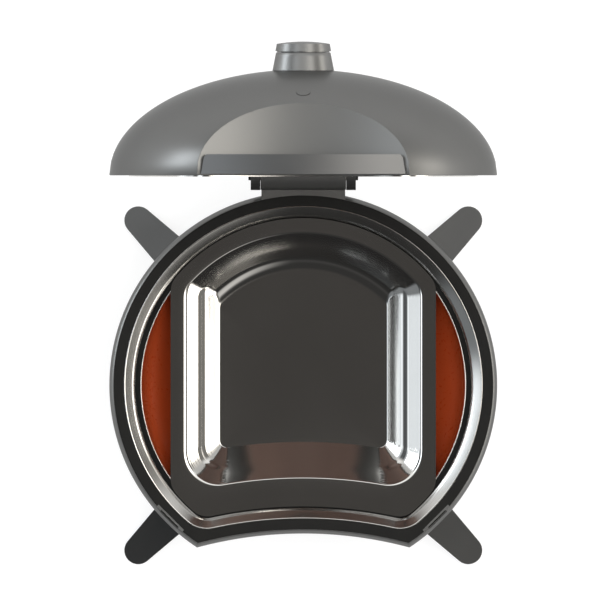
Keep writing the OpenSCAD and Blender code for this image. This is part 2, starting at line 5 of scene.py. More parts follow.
import bmesh
import bpy
import numpy as np
from mathutils import Matrix, Vector


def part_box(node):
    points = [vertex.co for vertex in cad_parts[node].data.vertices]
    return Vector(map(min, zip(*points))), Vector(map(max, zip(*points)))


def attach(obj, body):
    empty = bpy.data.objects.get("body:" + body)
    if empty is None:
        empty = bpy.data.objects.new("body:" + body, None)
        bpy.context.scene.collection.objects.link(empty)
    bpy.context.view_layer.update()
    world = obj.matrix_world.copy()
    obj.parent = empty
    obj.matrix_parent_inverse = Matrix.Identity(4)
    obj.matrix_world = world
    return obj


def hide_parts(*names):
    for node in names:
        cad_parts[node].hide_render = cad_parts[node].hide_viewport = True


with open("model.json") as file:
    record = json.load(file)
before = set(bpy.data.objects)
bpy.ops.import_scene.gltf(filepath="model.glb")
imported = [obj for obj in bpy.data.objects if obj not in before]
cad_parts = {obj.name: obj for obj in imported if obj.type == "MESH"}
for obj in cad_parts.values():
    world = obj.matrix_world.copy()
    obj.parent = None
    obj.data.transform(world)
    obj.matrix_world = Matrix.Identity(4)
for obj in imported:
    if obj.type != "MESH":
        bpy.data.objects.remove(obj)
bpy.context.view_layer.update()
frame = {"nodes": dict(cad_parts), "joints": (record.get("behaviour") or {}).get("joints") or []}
nodes = frame["nodes"]
scene = bpy.context.scene
MM = 0.001

# ---- sizes, taken from the frame or the same as in the CAD -------------------------------------

base_lo, base_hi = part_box("base_shell")
BODY_R = (base_hi.x - base_lo.x) / 2
RIM_Z = base_hi.z
AXIS_Y = base_hi.y - BODY_R
DEPTH = RIM_Z - base_lo.z
HINGE = Vector(next(j for j in frame["joints"] if j["name"] == "lid_hinge")["pos_m"])
DOME_H = 147.5 * MM
WALL = 4.5 * MM
FRONT_R = 570 * MM
FRONT_C = FRONT_R + 206.4 * MM
LEAN = math.tan(math.radians(5))
LID_LIFT = 2.8 * MM
SHOULDER = 14 * MM
BASE_B = DEPTH - SHOULDER + 7 * MM
BOTTOM_R = 78 * MM
CORNER_R = 62.4 * MM
OUT_CORNER, IN_CORNER = 0.9 * MM, 3 * MM
RECESS_D = 22.4 * MM
FLUE_R = 33 * MM
LIP_D = 27 * MM
FACE_HALF = 146.6 * MM
BISECTIONS = 40
PLUG_R, PLUG_Z = 9.9 * MM, 115.2 * MM

# The CAD's frames for drawing: the body's axis at the rim, and the same for the lid as it stands open
ON_BASE = Matrix.Translation((0, AXIS_Y, RIM_Z))
ON_LID = (Matrix.Translation(HINGE) @ Matrix.Rotation(math.radians(-90), 4, "X")
          @ Matrix.Translation((0, AXIS_Y - HINGE.y, LID_LIFT)))


# ---- outlines: half rings from the front's middle to the rear's middle -------------------------

N_FRONT, N_CORNER, N_REAR = 40, 16, 150


def mirrored(half):
    """Closed ring of points from a half ring whose ends lie on x = 0."""
    other = half[-2:0:-1].copy()
    other[:, 0] *= -1
    return np.vstack([half, other])


def rim_ring(r, d, c, z, cut=True):
    """A disc of radius r whose concave front is pushed in by d, with corners of radius c, at height z."""
    front, q = FRONT_R + d, r - c
    x, y = 0.0, -q
    if cut and q > FRONT_C - front - c:
        y = ((front + c) ** 2 - q * q - FRONT_C ** 2) / (2 * FRONT_C)
        x = math.sqrt(max(q * q - y * y, 0))
    a0, a1 = math.atan2(-x, FRONT_C + y), math.atan2(x, -y)
    if x < 1e-7:
        pts = [np.tile([0.0, -r], (N_FRONT + N_CORNER, 1))]
    else:
        tx, ty = x + c * math.sin(a0), y - c * math.cos(a0)
        f = np.linspace(0, math.atan2(tx, ty + FRONT_C), N_FRONT, endpoint=False)
        k = np.linspace(a0, a1, N_CORNER, endpoint=False)
        pts = [np.column_stack([front * np.sin(f), front * np.cos(f) - FRONT_C]),
               np.column_stack([x + c * np.sin(k), y - c * np.cos(k)])]
    b = np.linspace(a1, math.pi, N_REAR)
    half = np.vstack(pts + [np.column_stack([r * np.sin(b), -r * np.cos(b)])])
    half[0, 0] = half[-1, 0] = 0
    return mirrored(np.column_stack([half, np.full(len(half), z)]))


def corner_at(d):
    """Radius of the front corners of a ring d inside the body's outline."""
    return max(CORNER_R - d, IN_CORNER)


def inset_ring(d, z, c=None):
    """A ring that follows the body's outline, d inside it."""
    return rim_ring(BODY_R - d, d, corner_at(d) if c is None else c, z)


# Azimuths from the front's middle; the pan's rings are closer together at its corners
FINE = np.radians(np.arange(0, 180.001, 0.1))
AZIMUTHS = np.radians(np.concatenate([np.arange(a, b, by) for a, b, by in (
    (0, 20, 1.0), (20, 60, 0.5), (60, 120, 1.0), (120, 156, 0.5), (156, 180.5, 1.0))]))
CORNER_STEPS = 60


def pan_reach(w, r, d, c):
    """Distance from the axis, at each azimuth, of a disc of radius r with straight sides at half width w and
    a front pushed in by d; corners of radius c."""
    s, co = np.sin(FINE), np.cos(FINE)
    root = (FRONT_R + d + c) ** 2 - (FRONT_C * s) ** 2
    limits = np.array([np.full(len(FINE), r - c), (w - c) / np.maximum(s, 1e-6),
                       np.where((co > 0) & (root > 0), FRONT_C * co - np.sqrt(np.maximum(root, 0)), 9)])
    which, q = limits.argmin(0), limits.min(0)
    p = np.column_stack([q * s, -q * co])
    n = np.where((which == 0)[:, None], p / q[:, None], np.array([[1.0, 0.0]]))
    to_front = np.array([0, -FRONT_C]) - p
    n = np.where((which == 2)[:, None], to_front / np.linalg.norm(to_front, axis=1)[:, None], n)
    out = []
    for i in range(len(p)):
        if i and which[i] != which[i - 1]:
            m = (p[i] + p[i - 1]) / 2
            b0, b1 = math.atan2(n[i - 1][0], -n[i - 1][1]), math.atan2(n[i][0], -n[i][1])
            out += [m + c * np.array([math.sin(b), -math.cos(b)]) for b in np.linspace(b0, b1, CORNER_STEPS)]
        else:
            out.append(p[i] + c * n[i])
    out = np.array(out)
    az = np.arctan2(out[:, 0], -out[:, 1])
    order = np.argsort(az)
    return np.interp(AZIMUTHS, az[order], np.linalg.norm(out, axis=1)[order])


def pan_ring(w, r, d, c_front, c_rear, z):
    """A ring round the pan at height z, with corners of their own radius at the front and at the rear."""
    rad = np.where(AZIMUTHS < math.pi / 2, pan_reach(w, r, d, c_front), pan_reach(w, r, d, c_rear))
    half = np.column_stack([rad * np.sin(AZIMUTHS), -rad * np.cos(AZIMUTHS), np.full(len(rad), z)])
    half[0, 0] = half[-1, 0] = 0
    return mirrored(half)


def slope_profile(stops, depth):
    """Places along a wall, and the drop at each, from (place, slope in degrees) stops; scaled to a depth."""
    at, tilt = np.array([p for p, _ in stops]), np.array([t for _, t in stops])
    place = np.linspace(at[0], at[-1], 1500)
    sign = 1 if at[0] < at[-1] else -1
    grade = np.tan(np.radians(np.interp(sign * place, sign * at, tilt)))
    drop = np.concatenate([[0], np.cumsum((grade[1:] + grade[:-1]) / 2 * np.abs(np.diff(place)))])
    return place, drop * depth / drop[-1]


def soften(pts, radius, steps=4, closed=True):
    """Rounds the corners of a profile, by one radius or by a list of them."""
    pts = [np.array(p, float) for p in pts]
    radii = radius if isinstance(radius, (list, tuple)) else [radius] * len(pts)
    out, n = [], len(pts)
    for i, p in enumerate(pts):
        if (not closed and i in (0, n - 1)) or radii[i] <= 0:
            out.append(p)
            continue
        a, b = pts[i - 1] - p, pts[(i + 1) % n] - p
        la, lb = np.linalg.norm(a), np.linalg.norm(b)
        k = min(radii[i], 0.48 * la, 0.48 * lb)
        s, e = p + a * k / la, p + b * k / lb
        for t in np.linspace(0, 1, steps + 1):
            out.append((1 - t) ** 2 * s + 2 * t * (1 - t) * p + t * t * e)
    return out


# ---- pieces ------------------------------------------------------------------------------------

MERGE = 1e-5
SHARP = 35


def piece(name, verts, faces, body, replaces=(), slot=None, sharp=SHARP, matrix=Matrix()):
    """A mesh object that rides on a body; edges folded by more than sharp degrees stay crisp."""
    mesh = bpy.data.meshes.new(name)
    mesh.from_pydata([tuple(v) for v in verts], [], [tuple(f) for f in faces])
    bm = bmesh.new()
    bm.from_mesh(mesh)
    bmesh.ops.remove_doubles(bm, verts=bm.verts, dist=MERGE)
    bmesh.ops.dissolve_degenerate(bm, edges=bm.edges, dist=MERGE)
    bmesh.ops.recalc_face_normals(bm, faces=bm.faces)
    bm.to_mesh(mesh)
    bm.free()
    mesh.transform(matrix)
    mesh.shade_smooth()
    mesh.set_sharp_from_angle(angle=math.radians(sharp))
    obj = bpy.data.objects.new(name, mesh)
    scene.collection.objects.link(obj)
    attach(obj, body)
    if replaces:
        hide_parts(*replaces)
    return obj


def loft(name, rings, body, closed=True, **kw):
    """Skin over rings of equal size, closed onto the first ring or capped at both ends."""
    rings = np.array(rings)
    k, n, _ = rings.shape
    idx = np.arange(k * n).reshape(k, n)
    nxt = np.roll(idx, -1, 1)
    last = k if closed else k - 1
    faces = []
    for i in range(last):
        j = (i + 1) % k
        faces += np.column_stack([idx[i], nxt[i], nxt[j], idx[j]]).tolist()
    if not closed:
        faces += [idx[0].tolist()[::-1], idx[-1].tolist()]
    return piece(name, rings.reshape(-1, 3), faces, body, **kw)


def cut(obj, verts, faces):
    """Cuts a closed shape out of a piece."""
    mesh = bpy.data.meshes.new("cutter")
    mesh.from_pydata([tuple(v) for v in verts], [], [tuple(f) for f in faces])
    tool = bpy.data.objects.new("cutter", mesh)
    scene.collection.objects.link(tool)
    mod = obj.modifiers.new("cut", "BOOLEAN")
    mod.operation, mod.object, mod.solver = "DIFFERENCE", tool, "EXACT"
    deps = bpy.context.evaluated_depsgraph_get()
    done = bpy.data.meshes.new_from_object(obj.evaluated_get(deps))
    obj.modifiers.clear()
    old = obj.data
    obj.data = done
    bpy.data.meshes.remove(old)
    bpy.data.objects.remove(tool)
    done.shade_smooth()
    done.set_sharp_from_angle(angle=math.radians(SHARP))


def box_mesh(lo, hi, matrix):
    v = [matrix @ Vector((x, y, z)) for x in (lo[0], hi[0]) for y in (lo[1], hi[1]) for z in (lo[2], hi[2])]
    return v, [(0, 1, 3, 2), (4, 6, 7, 5), (0, 4, 5, 1), (2, 3, 7, 6), (0, 2, 6, 4), (1, 5, 7, 3)]


def tube_mesh(r, z0, z1, matrix, n=64):
    v = [matrix @ Vector((r * math.cos(2 * math.pi * i / n), r * math.sin(2 * math.pi * i / n), z))
         for z in (z0, z1) for i in range(n)]
    f = [(i, (i + 1) % n, n + (i + 1) % n, n + i) for i in range(n)]
    return v, f + [tuple(range(n))[::-1], tuple(range(n, 2 * n))]


# Lid: one row of rings up the outside, down the flue's bore and the inside, and along the rim
def lid_skin(inset, fillet):
    """Rings up a dome that lies inset inside the lid's outside, closer together along the front's edge."""
    a, b = BODY_R - inset, DOME_H - inset
    rows = []
    for x in np.linspace(1, 0, 46):
        half = FACE_HALF * x
        lo, hi = 0.0, b
        for _ in range(BISECTIONS):
            z = (lo + hi) / 2
            r, fr = a * math.sqrt(1 - (z / b) ** 2), FRONT_R + inset + z * LEAN
            edge = math.sqrt(max(fr * fr - half * half, 0)) - FRONT_C
            lo, hi = (z, hi) if r * r > half * half + edge * edge else (lo, z)
        rows.append(lo)
    top = math.asin(rows[-1] / b)
    end = math.acos(min(FLUE_R / a, 1))
    crown = [b * math.sin(t) for t in np.linspace(top, end, 22)[1:]]
    rows = sorted(set([0.0] + [z for z in rows if z > 0.4 * MM] + crown))
    return [(a * math.sqrt(max(1 - (z / b) ** 2, 0)), inset + z * LEAN, fillet, z) for z in rows]


outer = lid_skin(0, OUT_CORNER)
inner = [s for s in lid_skin(WALL, IN_CORNER) if s[3] > 5.6 * MM]
rings = [inset_ring(LIP_D, 5 * MM), inset_ring(LIP_D, 0),
         rim_ring(BODY_R - 1.2 * MM, 1.2 * MM, 1 * MM, 0),
         rim_ring(BODY_R - 0.35 * MM, 0.35 * MM, 0.95 * MM, 0.35 * MM)]
rings += [rim_ring(r, d, c, max(z, 1.2 * MM)) for r, d, c, z in outer]
rings += [rim_ring(FLUE_R, 0, 1 * MM, inner[-1][3])]
rings += [rim_ring(r, d, c, z) for r, d, c, z in inner[::-1]]
rings += [rim_ring(BODY_R - WALL, WALL, IN_CORNER, 5 * MM)]
lid_shell = loft("lid_shell_cast", rings, "lid", replaces=["lid_shell"], slot="cast_aluminium", matrix=ON_LID)
plug_y = BODY_R * math.sqrt(1 - (PLUG_Z / DOME_H) ** 2)
at_plug = (ON_LID @ Matrix.Translation((0, -plug_y, PLUG_Z))
           @ Matrix.Rotation(math.atan2(plug_y / BODY_R ** 2, PLUG_Z / DOME_H ** 2), 4, "X"))
cut(lid_shell, *tube_mesh(PLUG_R, -9 * MM, 6 * MM, at_plug))

# Base: the rim's shoulder and recess, the flange, and the hollow body
curve = np.linspace(-math.asin((DEPTH - SHOULDER) / BASE_B), 0, 40)
outer = [(BODY_R * math.cos(t), 0, OUT_CORNER, -SHOULDER + BASE_B * math.sin(t)) for t in curve]
wall_curve = [t for t in curve if (BASE_B - WALL) * math.sin(t) > -(DEPTH - WALL - SHOULDER) + 1 * MM]
inner = [((BODY_R - WALL) * math.cos(t), WALL, IN_CORNER, -SHOULDER - 1 * MM + (BASE_B - WALL) * math.sin(t))
         for t in wall_curve]
rings = [rim_ring(BOTTOM_R, 0, 1 * MM, -DEPTH)]
rings += [rim_ring(r, d, c, z) for r, d, c, z in outer]
shoulder = soften([(0, -14), (0.5, -9.5), (1.8, -5), (3.7, -1.65), (5.35, 0), (5.8, 0), (5.8, -3)],
                  [0, 3, 3, 0.25, 0.2, 0.1, 0], 4, closed=False)
rings += [rim_ring(BODY_R - d * MM, d * MM, (0.9 if z < -2.9 else 1.2) * MM, z * MM) for d, z in shoulder[1:]]
rings += [inset_ring(RECESS_D, -3 * MM), inset_ring(RECESS_D, -15 * MM),
          rim_ring(BODY_R - WALL, WALL, IN_CORNER, -15 * MM)]
rings += [rim_ring(r, d, c, z) for r, d, c, z in inner[::-1]]
rings += [rim_ring(BOTTOM_R, 0, 1 * MM, -DEPTH + WALL)]
base_shell = loft("base_shell_cast", rings, "base", replaces=["base_shell"], slot="cast_aluminium",
                  matrix=ON_BASE)
cut(base_shell, *box_mesh((-62 * MM, -236 * MM, -DEPTH), (62 * MM, -176 * MM, -60 * MM), ON_BASE))

# Rim pieces
trim = soften([(36.25, -15), (34.7, -15), (34.7, -12.2), (30.6, -8.3), (22.7, -3.1), (22.2, -2.9), (20.4, -2.9),
               (20.4, -0.3), (22, -0.3), (32.2, -7.1), (36.25, -11.35)],
              [0.2, 0.5, 0.8, 1, 0.5, 0.3, 0.5, 0.6, 0.7, 1.0, 1.0], 4)
trim_ring = loft("trim_ring_rolled", [inset_ring(d * MM, z * MM) for d, z in trim], "base",
                 replaces=["trim_ring"], slot="trim_steel", matrix=ON_BASE, sharp=60)
gasket = soften([(5.85, -2.95), (5.85, -0.3), (20.2, -0.3), (20.2, -2.95)], [0.2, 0.5, 0.5, 0.2], 3)
rings = [inset_ring(d * MM, z * MM, None if d > 13 else IN_CORNER) for d, z in gasket]
rim_gasket = loft("rim_gasket_moulded", rings, "base", replaces=["rim_gasket"], slot="gasket_black",
                  matrix=ON_BASE, sharp=50)

# Enamelled bowl
LINER_D, LINER_B, LINER_T, LINER_TOP = 43.4 * MM, 92 * MM, 1.5 * MM, -13 * MM
LINER_CORNER = 17 * MM


def dish(t, inset):
    """A ring of the bowl, t being its angle below the edge."""
    a = BODY_R - LINER_D - inset
    r = a * math.cos(t)
    return rim_ring(r, LINER_D + inset, min(LINER_CORNER, r / 2), LINER_TOP - (LINER_B - inset) * math.sin(t))


angles = np.radians(np.concatenate([[84, 78, 72, 66], np.arange(60, -0.1, -2.5)]))
rings = [dish(t, 0) for t in angles] + [dish(t, LINER_T) for t in angles[::-1]]
bowl_liner = loft("bowl_liner_enamelled", rings, "base", closed=False, replaces=["bowl_liner"],
                  slot="orange_enamel", matrix=ON_BASE, sharp=50)

BEAD_R, BEAD_D, BEAD_Z = 0.75, 44, -12.9
bead = [(BEAD_D + BEAD_R * math.cos(k), BEAD_Z + BEAD_R * math.sin(k))
        for k in np.linspace(0, 2 * math.pi, 12, endpoint=False)]
rings = [rim_ring(BODY_R - d * MM, d * MM, LINER_CORNER, z * MM) for d, z in bead]
bowl_bead = loft("bowl_edge_bead", rings, "base", slot="trim_steel", matrix=ON_BASE, sharp=80)

# Accessory sockets: a pad across the gasket at each front diagonal, with a slot through it and the rim
PAD_IN, PAD_OUT, PAD_HALF = 259.8, 264.3, 25
SLOT_IN, SLOT_OUT, SLOT_HALF = 262.3, 265.8, 17
pads = []
for side_sign, name in ((-1, "left"), (1, "right")):
    turn = ON_BASE @ Matrix.Rotation(math.radians(side_sign * 45 - 90), 4, "Z")
    cut(base_shell, *box_mesh((SLOT_IN * MM, -SLOT_HALF * MM, -6 * MM),
                              (SLOT_OUT * MM, SLOT_HALF * MM, 1 * MM), turn))
    rim = [math.asin(v / PAD_OUT) for v in np.linspace(SLOT_HALF, PAD_HALF, 5)]
    shape = [(PAD_IN, -PAD_HALF)] + [(PAD_OUT * math.cos(t), -PAD_OUT * math.sin(t)) for t in rim[::-1]]
    shape += [(SLOT_IN, -SLOT_HALF), (SLOT_IN, SLOT_HALF)]
    shape += [(PAD_OUT * math.cos(t), PAD_OUT * math.sin(t)) for t in rim] + [(PAD_IN, PAD_HALF)]
    n = len(shape)
    verts = [(x * MM, y * MM, z * MM) for z in (-2.9, 0.0) for x, y in shape]
    faces = [tuple(range(n))[::-1], tuple(range(n, 2 * n))]
    faces += [(i, (i + 1) % n, n + (i + 1) % n, n + i) for i in range(n)]
    pads.append(piece(f"socket_pad_{name}", verts, faces, "base", slot="cast_aluminium", matrix=turn))

# Lid liner
LL_D, LL_B = 29.5 * MM, 138 * MM


def lid_dish(t, inset):
    """A ring of the lid's liner, t being its angle above the rim."""
    a, z = BODY_R - LL_D - inset, (LL_B - inset) * math.sin(t)
    r = a * math.cos(t)
    return rim_ring(r, LL_D + inset + z * LEAN, min(corner_at(LL_D), r / 2), z)


angles = np.radians(np.arange(3, 81.1, 3))
rings = ([inset_ring(LL_D, 0.5 * MM)] + [lid_dish(t, 0) for t in angles]
         + [rim_ring(FLUE_R + 2 * MM, 0, 1 * MM, LL_B - down * MM) for down in (0.6, 2.1)]
         + [lid_dish(t, LINER_T) for t in angles[::-1]] + [inset_ring(LL_D + LINER_T, 0.5 * MM)])
lid_liner = loft("lid_liner_enamelled", rings, "lid", replaces=["lid_liner"], slot="orange_enamel",
                 matrix=ON_LID, sharp=50)

# Roasting pan: pressed from one sheet. Its sides fall in two steps, its front and rear in one sweep.
# Places and drops of its walls are in millimetres
PAN_DROP = 38
PAN_T, PAN_TOP, PAN_DEPTH = 1.5 * MM, -11 * MM, PAN_DROP * MM
side_wall = slope_profile([(184.6, 0), (166.8, 0), (160.9, 39.5), (157, 41.3), (147.6, 41.3), (144.6, 28),
                           (141.2, 22.2), (138.6, 30), (136.6, 36.5), (134.9, 42), (130, 42.4), (117.4, 42.8),
                           (116.4, 0)], PAN_DROP)
rear_wall = slope_profile([(232.7, 0), (213.8, 0), (211, 40), (205, 42), (181, 42), (173, 25), (160, 0)], PAN_DROP)
front_wall = slope_profile([(37.9, 0), (76.6, 0), (79, 38.3), (92, 38), (104, 37), (127.6, 35.3)], PAN_DROP)
drops = [round(float(np.interp(-w, -side_wall[0], side_wall[1])), 4) for w in np.arange(166.6, 116.4, -0.5)]
drops = sorted(set([0.0] + drops + [float(PAN_DROP)]))
levels = [v for i, v in enumerate(drops) if v > 0 and v - drops[i - 1] > 0.02]


def contour(drop, out=0.0, down=0.0):
    """The pan's ring at a drop below its flange, moved out and down for the sheet's underside."""
    w = np.interp(drop, side_wall[1][1:], side_wall[0][1:])
    r = np.interp(drop, rear_wall[1], rear_wall[0])
    d = np.interp(drop, front_wall[1], front_wall[0])
    f = drop / PAN_DROP
    return pan_ring((w + out) * MM, (r + out) * MM, (d - out) * MM, (46 - 36 * f) * MM, (32 - 26 * f) * MM,
                    PAN_TOP - (drop + down) * MM)


# Half width, rear radius, front and both corner radii, from the flange's edge inwards
flange = [(184.6, 232.7, 37.9, 30, 30), (184.3, 232.4, 38.2, 30, 30), (176, 223, 57, 38, 31),
          (166.9, 213.9, 76.5, 46, 32)]
core = pan_ring(30 * MM, 45 * MM, 160 * MM, 8 * MM, 8 * MM, PAN_TOP - PAN_DEPTH)
floor_edge = pan_ring(116 * MM, 159.5 * MM, 128 * MM, 10 * MM, 6 * MM, PAN_TOP - PAN_DEPTH)
rings = [core, floor_edge] + [contour(v) for v in levels[::-1]]
rings += [pan_ring(*(v * MM for v in s), PAN_TOP) for s in flange[::-1]]
rings += [pan_ring(*(v * MM for v in s), PAN_TOP - PAN_T) for s in (flange[0], flange[-1])]
rings += [contour(v, 1.2, 1.5) for v in levels[::3]] + [contour(PAN_DROP, 1.2, 1.5)]
rings += [core + np.array([0, 0, -PAN_T])]
roasting_pan = loft("roasting_pan_pressed", rings, "pan", closed=False, replaces=["roasting_pan"],
                    slot="pan_steel", matrix=ON_BASE, sharp=26)


# ---- materials ---------------------------------------------------------------------------------

NOISE_LOW, NOISE_HIGH = 0.3, 0.7


def graph(name):
    """A new material, its node tree and its shader."""
    mat = bpy.data.materials.new(name)
    mat.use_nodes = True
    tree = mat.node_tree
    return mat, tree, tree.nodes["Principled BSDF"]


def noise(tree, scale, detail, stretch=(1, 1, 1)):
    coord = tree.nodes.new("ShaderNodeTexCoord")
    mapping = tree.nodes.new("ShaderNodeMapping")
    mapping.inputs["Scale"].default_value = stretch
    tex = tree.nodes.new("ShaderNodeTexNoise")
    tex.inputs["Scale"].default_value = scale
    tex.inputs["Detail"].default_value = detail
    tex.inputs["Roughness"].default_value = 0.5
    tree.links.new(coord.outputs["Object"], mapping.inputs["Vector"])
    tree.links.new(mapping.outputs["Vector"], tex.inputs["Vector"])
    return tex.outputs["Fac"]


def ramp(tree, value, low, high):
    node = tree.nodes.new("ShaderNodeMapRange")
    node.inputs["From Min"].default_value, node.inputs["From Max"].default_value = NOISE_LOW, NOISE_HIGH
    node.inputs["To Min"].default_value, node.inputs["To Max"].default_value = low, high
    tree.links.new(value, node.inputs["Value"])
    return node.outputs["Result"]


def blend(tree, value, low, high):
    node = tree.nodes.new("ShaderNodeValToRGB")
    for stop, place, tone in zip(node.color_ramp.elements, (NOISE_LOW, NOISE_HIGH), (low, high)):
        stop.position, stop.color = place, (*tone, 1)
    tree.links.new(value, node.inputs["Fac"])
    return node.outputs["Color"]


def bump(tree, bsdf, value, distance, strength):
    node = tree.nodes.new("ShaderNodeBump")
    node.inputs["Strength"].default_value = strength
    node.inputs["Distance"].default_value = distance
    tree.links.new(value, node.inputs["Height"])
    tree.links.new(node.outputs["Normal"], bsdf.inputs["Normal"])


def surface(name, low, high, rough, metallic=0.0, patch=18, grain=900, height=0.00004, strength=0.35,
            stretch=(1, 1, 1), coat=0.0, coat_rough=0.1, spec=0.5, vary=0.03, edge=1.0):
    """Colour drifts between two tones, roughness with it, and a fine grain lifts the surface."""
    mat, tree, bsdf = graph(name)
    drift = noise(tree, patch, 4)
    tree.links.new(blend(tree, drift, low, high), bsdf.inputs["Base Color"])
    fine = noise(tree, grain, 2, stretch=stretch)
    mix = tree.nodes.new("ShaderNodeMath")
    mix.operation = "ADD"
    tree.links.new(ramp(tree, drift, rough[0], rough[1]), mix.inputs[0])
    tree.links.new(ramp(tree, fine, -vary, vary), mix.inputs[1])
    tree.links.new(mix.outputs[0], bsdf.inputs["Roughness"])
    bump(tree, bsdf, fine, height, strength)
    bsdf.inputs["Metallic"].default_value = metallic
    bsdf.inputs["Specular IOR Level"].default_value = spec
    bsdf.inputs["Specular Tint"].default_value = (edge, edge, edge, 1)
    bsdf.inputs["Coat Weight"].default_value = coat
    bsdf.inputs["Coat Roughness"].default_value = coat_rough
    return mat


def casting(name, low, high, rough, metallic, patch=12):
    return surface(name, low, high, rough, metallic, patch=patch, grain=1400, height=0.00003, strength=0.3,
                   edge=0.45)


cast = casting("cast_aluminium", (0.144, 0.144, 0.141), (0.156, 0.156, 0.153), (0.33, 0.37), 0.8, patch=9)
# The same casting drawn darker on the legs and hinge ears: painted shade for the shadow beneath them
cast_painted_shade = casting("cast_aluminium_painted_shade", (0.094, 0.094, 0.094), (0.104, 0.104, 0.103), (0.33, 0.38), 0.85)
# The same casting drawn darker on the handle and its posts: painted shade
cast_handle_painted_shade = casting("cast_aluminium_handle_painted_shade", (0.118, 0.119, 0.12), (0.128, 0.129, 0.13), (0.33, 0.38), 0.85)
# The same casting drawn lighter on the flue's collar and cap: painted light
cast_flue_painted_light = casting("cast_aluminium_flue_painted_light", (0.178, 0.178, 0.175), (0.191, 0.191, 0.188), (0.33, 0.37), 0.8)
trim_steel = surface("trim_steel", (0.60, 0.59, 0.57), (0.66, 0.65, 0.63), (0.14, 0.17), 1.0,
                     patch=14, grain=700, height=0.000002, strength=0.05, vary=0.008)
pan_steel = surface("pan_steel", (0.64, 0.63, 0.61), (0.68, 0.67, 0.65), (0.068, 0.078), 1.0,
                    patch=6, grain=500, height=0.000002, strength=0.03, vary=0.006)
plain_steel = surface("plain_steel", (0.5, 0.49, 0.47), (0.58, 0.57, 0.55), (0.25, 0.35), 1.0,
                      grain=800, stretch=(0.1, 1, 1))
gasket_mat = surface("gasket_black", (0.010, 0.0098, 0.0093), (0.0125, 0.0122, 0.0115), (0.65, 0.75),
                     patch=40, grain=1200, height=0.00003, strength=0.3, spec=0.08)
black_enamel = surface("black_enamel", (0.003, 0.003, 0.003), (0.005, 0.005, 0.0045), (0.4, 0.45), patch=20,
                       grain=350, height=0.00001, strength=0.1, spec=0.1)
enamel = surface("orange_enamel", (0.295, 0.04, 0.0095), (0.318, 0.044, 0.0105), (0.28, 0.32), patch=12,
                 grain=220, height=0.00001, strength=0.05, coat=0.8, coat_rough=0.28)
# The lid's liner is the bowl's orange enamel drawn dull brown: painted shade for the lid's inside, which no
# overhead light reaches
brown_enamel = surface("brown_enamel", (0.24, 0.165, 0.14), (0.27, 0.187, 0.158), (0.3, 0.36), patch=25,
                       grain=220, height=0.00003, strength=0.12, coat=0.3, coat_rough=0.3)
plastic = surface("black_plastic", (0.02, 0.02, 0.02), (0.028, 0.028, 0.028), (0.4, 0.5), patch=30,
                  grain=1500, height=0.00003, strength=0.4)
rubber = surface("foot_rubber", (0.016, 0.016, 0.016), (0.024, 0.024, 0.023), (0.7, 0.85), patch=40,
                 grain=900, height=0.00006, strength=0.5, spec=0.25)
screw_mat = surface("black_screw", (0.04, 0.04, 0.04), (0.06, 0.06, 0.058), (0.3, 0.42), 0.8, grain=900)
brass = surface("brass", (0.55, 0.38, 0.13), (0.66, 0.48, 0.19), (0.25, 0.4), 1.0, patch=35, grain=700)
copper = surface("copper", (0.62, 0.28, 0.17), (0.78, 0.4, 0.26), (0.25, 0.42), 1.0, patch=45, grain=600)
ceramic = surface("white_ceramic", (0.74, 0.72, 0.66), (0.82, 0.8, 0.75), (0.3, 0.45), patch=60, grain=900)

FINISH = {
    cast: ["base_shell", "lid_shell", "hinge_bracket", "gauge_hole_plug"],
    cast_painted_shade: ["leg_front_left", "leg_front_right", "leg_rear_left", "leg_rear_right", "hinge_ear_left",
                "hinge_ear_right"],
    cast_handle_painted_shade: ["lid_handle", "handle_posts"],
    cast_flue_painted_light: ["flue_collar", "flue_cap"],
    trim_steel: ["trim_ring", "hinge_washers", "knob_bezel", "lid_lip_ring"],
    plain_steel: ["bottom_cover", "burner_ring", "burner_venturi", "burner_clips", "flue_spider", "flue_cap_stem"],
    pan_steel: ["roasting_pan"],
    gasket_mat: ["rim_gasket"],
    black_enamel: ["pan_support_ring", "control_panel"],
    enamel: ["bowl_liner"],
    brown_enamel: ["lid_liner"],
    plastic: ["gas_knob", "igniter_button", "igniter_body"],
    rubber: ["foot_front_left", "foot_front_right", "foot_rear_left", "foot_rear_right", "lid_stop_pad"],
    screw_mat: ["leg_screws", "bottom_cover_screws", "bracket_screws", "hinge_pin", "handle_screws", "ear_screws",
                "plug_nut"],
    brass: ["gas_valve", "gas_jet", "hose_inlet", "valve_stem"],
    copper: ["gas_pipe"],
    ceramic: ["igniter_electrode"],
}
for mat, names in FINISH.items():
    for name in names:
        if name in nodes:
            nodes[name].data.materials.clear()
            nodes[name].data.materials.append(mat)
for obj, mat in ((lid_shell, cast), (base_shell, cast), (trim_ring, trim_steel), (rim_gasket, gasket_mat),
                 (bowl_liner, enamel), (lid_liner, brown_enamel), (roasting_pan, pan_steel),
                 (bowl_bead, trim_steel), (pads[0], cast), (pads[1], cast)):
    obj.data.materials.clear()
    obj.data.materials.append(mat)

# Broken edges on the CAD nodes that stay
EDGE_MM = {"leg": 0.8, "foot": 1.2, "hinge_bracket": 0.5, "hinge_ear": 0.5, "lid_handle": 0.5, "flue_c": 0.5,
           "gauge": 0.4, "control_panel": 0.4, "gas_knob": 0.7, "igniter_button": 0.5, "knob_bezel": 0.3}
OTHER_EDGE_MM = 0.2
for name, obj in nodes.items():
    size = next((v for k, v in EDGE_MM.items() if name.startswith(k)), OTHER_EDGE_MM)
    if "custom_normal" in obj.data.attributes:
        obj.data.attributes.remove(obj.data.attributes["custom_normal"])
    obj.data.shade_smooth()
    weld = obj.modifiers.new("weld", "WELD")
    weld.merge_threshold = 2e-6
    bev = obj.modifiers.new("edge", "BEVEL")
    bev.width, bev.segments, bev.limit_method = size * MM, 2, "ANGLE"
    bev.angle_limit = math.radians(32)
    bev.harden_normals = True
    bev.use_clamp_overlap = True

# ---- studio ------------------------------------------------------------------------------------

scene.view_settings.view_transform = "Standard"

